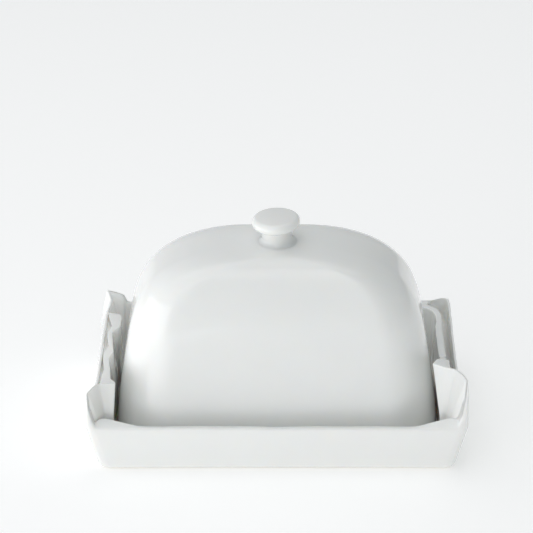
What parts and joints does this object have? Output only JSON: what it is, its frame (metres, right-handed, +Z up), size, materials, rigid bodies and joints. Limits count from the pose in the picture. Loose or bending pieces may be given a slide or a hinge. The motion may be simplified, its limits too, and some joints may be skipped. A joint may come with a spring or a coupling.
{
  "type": "butter dish",
  "caption": "Porcelain butter dish: shallow tray with tall folded-paper flaps at both short ends and a domed loaf-shaped lid with a round knob.",
  "frame": {"origin": "middle of the tray's foot, on the surface that it stands on", "axes": "+X along the dish, from the left flap to the right flap; +Y from the front long side to the back; +Z up, along the lid's lift"},
  "size_m": [0.192, 0.1098, 0.1183],
  "materials": {
    "glazed_porcelain": "gloss"
  },
  "bodies": {
    "base": {"tray": "glazed_porcelain", "left_flap": "glazed_porcelain", "right_flap": "glazed_porcelain"},
    "lid": {"lid_shell": "glazed_porcelain", "lid_knob": "glazed_porcelain"}
  },
  "joints": [
    {"name": "lid_lift", "type": "slide", "parent": "base", "child": "lid", "axis": [0, 0, 1], "range_m": [0, 0.12]}
  ]
}
